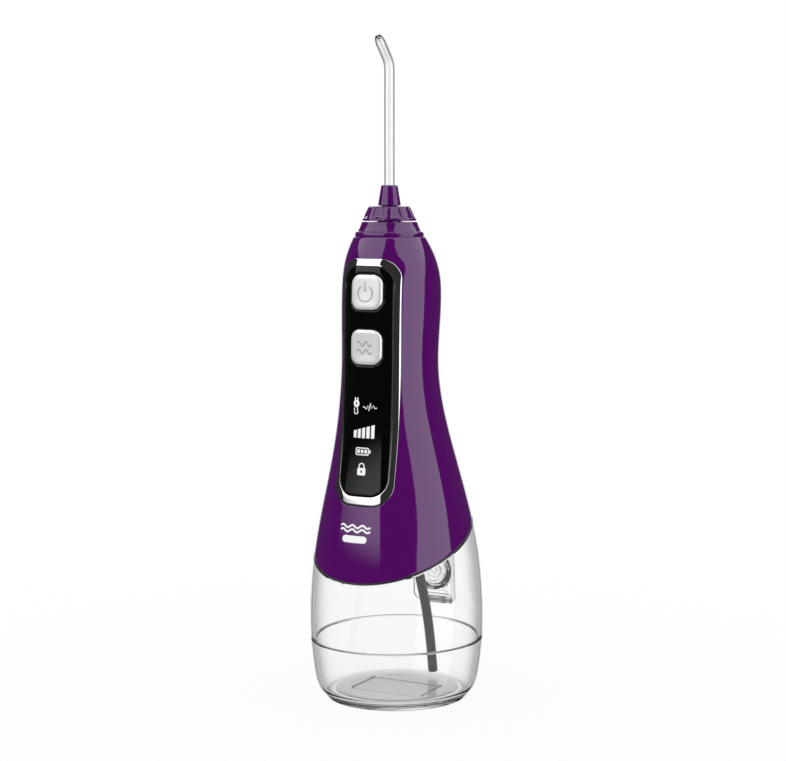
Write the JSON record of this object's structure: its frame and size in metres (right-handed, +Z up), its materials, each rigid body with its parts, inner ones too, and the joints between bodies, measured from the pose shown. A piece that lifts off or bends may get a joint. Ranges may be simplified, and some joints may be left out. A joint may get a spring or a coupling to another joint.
{
  "type": "water flosser",
  "caption": "Cordless water flosser: clear slanted-mouth tank with a fill lid, gloss handle with a control panel, turning knob and bent jet tip.",
  "frame": {"origin": "underside of the tank, on the axis of the jet tip", "axes": "+Z up along the jet tip's axis, the control panel faces -Y, +X to the right seen from the front"},
  "size_m": [0.0726, 0.0798, 0.2767],
  "materials": {
    "purple_shell": "moulded, high gloss",
    "clear_tank": "clear moulded",
    "clear_tip": "clear moulded",
    "black_rubber": "matt",
    "dark_hose": "satin",
    "white_rubber": "satin",
    "bezel_metal": "smoked mirror",
    "black_lens": "high gloss",
    "silver_button": "satin silver",
    "white_plastic": "matt",
    "grey_plastic": "matt",
    "board_green": "solder mask",
    "led_amber": "clear",
    "cell_blue": "shrink sleeve",
    "steel": "machined",
    "motor_steel": "drawn can",
    "brass": "turned",
    "acetal": "moulded, slippery",
    "clear_silicone": "satin"
  },
  "bodies": {
    "tank": {"tank_base": "clear_tank", "tank_wall": "clear_tank", "lid_hinge_pin": "steel"},
    "fill_lid": {"fill_lid": "clear_tank", "lid_plug": "clear_silicone"},
    "handle": {"housing": "purple_shell", "base_cover": "white_plastic", "mouth_seal": "black_rubber", "base_screws": "steel", "inlet_fitting": "grey_plastic", "suction_hose": "dark_hose", "panel_bezel": "bezel_metal", "display_panel": "black_lens", "light_guide": "white_plastic", "circuit_board": "board_green", "tact_switches": "grey_plastic", "indicator_leds": "led_amber", "battery": "cell_blue", "battery_cradle": "grey_plastic", "charge_socket": "grey_plastic", "motor": "motor_steel", "gear_axle": "steel", "pump_frame": "grey_plastic", "frame_screws": "steel", "motor_screws": "steel", "pump_cylinder": "acetal", "pump_head": "white_plastic", "inlet_valve": "white_rubber", "outlet_valve": "white_rubber", "pump_screws": "steel", "inlet_hose": "clear_silicone", "outlet_hose": "clear_silicone", "nozzle_seat": "white_plastic", "top_ring": "purple_shell"},
    "port_cover": {"port_cover": "purple_shell"},
    "power_button": {"power_button": "silver_button"},
    "mode_button": {"mode_button": "silver_button"},
    "motor_rotor": {"motor_shaft": "steel", "motor_pinion": "brass"},
    "crank": {"crank_gear": "acetal"},
    "plunger": {"connecting_rod": "acetal", "crank_pin": "steel", "wrist_pin": "steel", "piston": "acetal", "piston_seal": "black_rubber"},
    "knob": {"rotation_knob": "purple_shell", "knob_o_ring": "black_rubber"},
    "tip": {"jet_tip": "clear_tip", "tip_hub": "purple_shell", "tip_o_ring": "black_rubber"}
  },
  "joints": [
    {"name": "handle_lift", "type": "slide", "parent": "tank", "child": "handle", "axis": [0, 0, 1], "range_m": [0, 0.11]},
    {"name": "lid_hinge", "type": "hinge", "parent": "tank", "child": "fill_lid", "pos_m": [0, 0.0461, 0.033], "axis": [-1, 0, 0], "range_deg": [0, 110]},
    {"name": "port_cover_hinge", "type": "hinge", "parent": "handle", "child": "port_cover", "pos_m": [0, 0.0273, 0.117], "axis": [1, 0, 0], "range_deg": [0, 100]},
    {"name": "power_press", "type": "slide", "parent": "handle", "child": "power_button", "axis": [0, 1, 0], "range_m": [0, 0.0008], "stiffness_N_per_m": 600},
    {"name": "mode_press", "type": "slide", "parent": "handle", "child": "mode_button", "axis": [0, 1, 0], "range_m": [0, 0.0008], "stiffness_N_per_m": 600},
    {"name": "crank_spin", "type": "hinge", "parent": "handle", "child": "crank", "pos_m": [0, 0, 0.0976], "axis": [0, 1, 0], "continuous": true},
    {"name": "motor_spin", "type": "hinge", "parent": "handle", "child": "motor_rotor", "pos_m": [0, 0, 0.084], "axis": [0, 1, 0], "continuous": true},
    {"name": "pump_stroke", "type": "slide", "parent": "handle", "child": "plunger", "axis": [0, 0, 1], "range_m": [0, 0.005]},
    {"name": "nozzle_turn", "type": "hinge", "parent": "handle", "child": "knob", "pos_m": [0, 0, 0.204], "axis": [0, 0, 1], "continuous": true},
    {"name": "tip_pull", "type": "slide", "parent": "knob", "child": "tip", "axis": [0, 0, 1], "range_m": [0, 0.03]}
  ],
  "couplings": [
    {"joint": "motor_spin", "follows": "crank_spin", "ratio": -3.5}
  ]
}
